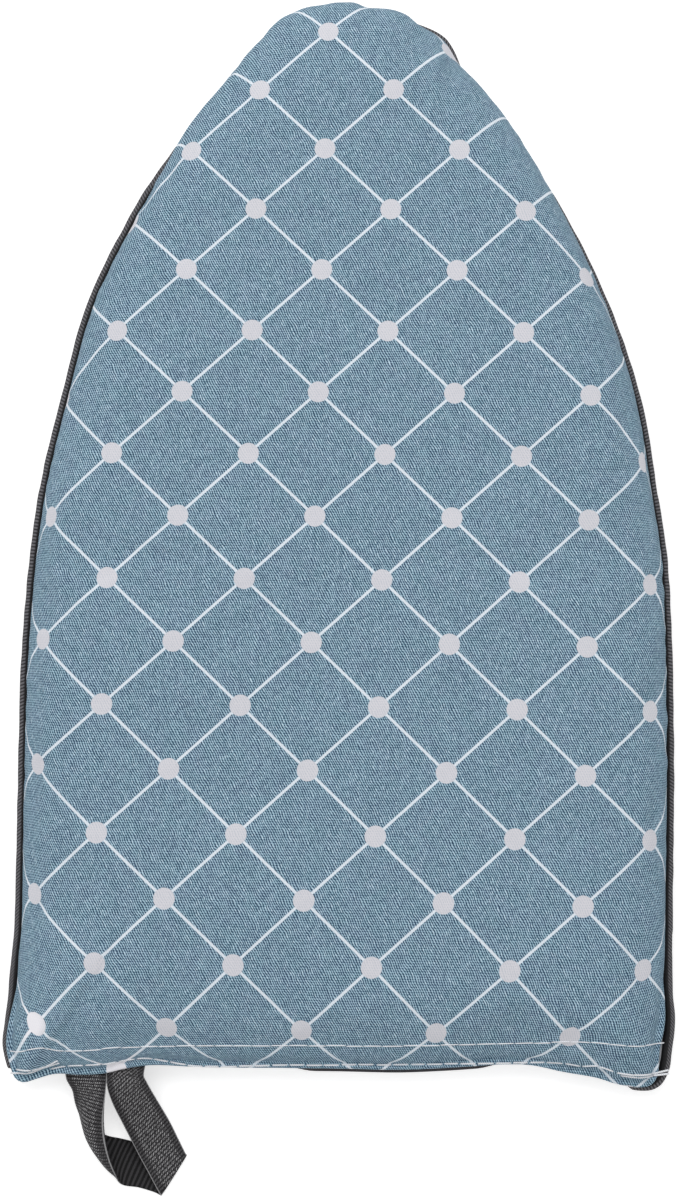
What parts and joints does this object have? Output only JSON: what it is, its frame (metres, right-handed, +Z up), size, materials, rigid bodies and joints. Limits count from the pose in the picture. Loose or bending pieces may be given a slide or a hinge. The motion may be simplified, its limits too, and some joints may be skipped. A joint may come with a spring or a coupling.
{
  "type": "handheld ironing pad",
  "caption": "Padded mitt for ironing by hand: a round-tipped pad with a printed cloth face, a piped edge, a hand pocket behind and a webbing hanging loop.",
  "frame": {"origin": "middle of the flat back that the pad rests on", "axes": "+Z up out of the ironing face, +Y towards the round tip, +X to the right with the hem nearest"},
  "size_m": [0.2345, 0.4156, 0.0283],
  "materials": {
    "printed_twill": "blue-grey twill with a pale diamond lattice and dots",
    "felt": "matt needled felt",
    "foam": "matt open-cell foam",
    "coated_lining": "silver-grey coated cloth",
    "back_cloth": "dark grey plain weave",
    "piping_tape": "dark grey ribbed tape",
    "webbing": "dark grey ribbed webbing",
    "pale_thread": "pale polyester thread",
    "dark_thread": "dark grey polyester thread"
  },
  "bodies": {
    "pad": {"face_cover": "printed_twill", "felt_layer": "felt", "foam_core": "foam", "pad_lining": "coated_lining", "pocket_panel": "back_cloth", "piping_cover": "piping_tape", "piping_cord": "piping_tape", "loop_end_left": "webbing", "loop_end_right": "webbing", "cover_hem_stitching": "pale_thread", "closing_stitching": "pale_thread", "backtack_left": "pale_thread", "backtack_right": "pale_thread", "edge_seam_stitching": "pale_thread", "pocket_hem_stitching": "dark_thread"},
    "loop": {"hanging_loop": "webbing"}
  },
  "joints": [
    {"name": "loop_swing", "type": "hinge", "parent": "pad", "child": "loop", "pos_m": [-0.0807, -0.18548, 0.0123], "axis": [1, 0, 0], "range_deg": [-80, 60]}
  ]
}
